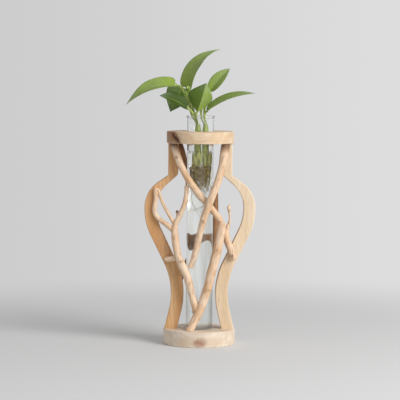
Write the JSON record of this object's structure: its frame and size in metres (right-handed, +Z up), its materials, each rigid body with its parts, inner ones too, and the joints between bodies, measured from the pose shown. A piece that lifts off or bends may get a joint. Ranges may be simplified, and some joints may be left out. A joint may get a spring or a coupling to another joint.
{
  "type": "propagation vase",
  "caption": "Glass tube standing in a wooden vase-outline frame of base, ring and ribs dressed with peeled branches, holding a rooted leafy cutting in water.",
  "frame": {"origin": "centre of the base disc's underside, where the vase stands", "axes": "+Z up along the tube, +X to the right and -Y to the front as pictured"},
  "size_m": [0.1218, 0.0674, 0.2773],
  "materials": {
    "frame_wood": "sanded, lightly oiled honey-coloured wood",
    "base_wood": "sanded pale wood",
    "peeled_branch": "peeled and smoothed branch wood",
    "clear_glass": "clear polished glass",
    "leaf": "waxy green leaf",
    "stem": "smooth yellow-green stem",
    "root": "thin olive-brown root"
  },
  "bodies": {
    "frame": {"base_disc": "base_wood", "top_ring": "frame_wood", "left_rib": "frame_wood", "right_rib": "frame_wood", "rib_dowels": "frame_wood", "right_stem_branch": "peeled_branch", "cross_left_branch": "peeled_branch", "left_fork_branch": "peeled_branch", "cross_right_branch": "peeled_branch", "left_curved_twig": "peeled_branch", "left_thin_twig": "peeled_branch", "left_side_stub": "peeled_branch", "right_twig": "peeled_branch", "back_right_branch": "peeled_branch", "back_left_branch": "peeled_branch"},
    "tube": {"glass_tube": "clear_glass"},
    "cutting": {"left_cutting_stem": "stem", "right_cutting_stem": "stem", "cutting_roots": "root", "leaf_top": "leaf", "leaf_left": "leaf", "leaf_left_back": "leaf", "leaf_left_low": "leaf", "leaf_centre": "leaf", "leaf_right_up": "leaf", "leaf_right": "leaf", "leaf_bud": "leaf"}
  },
  "joints": [
    {"name": "tube_lift", "type": "slide", "parent": "frame", "child": "tube", "axis": [0, 0, 1], "range_m": [0, 0.2]},
    {"name": "cutting_lift", "type": "slide", "parent": "tube", "child": "cutting", "axis": [0, 0, 1], "range_m": [0, 0.11]}
  ]
}
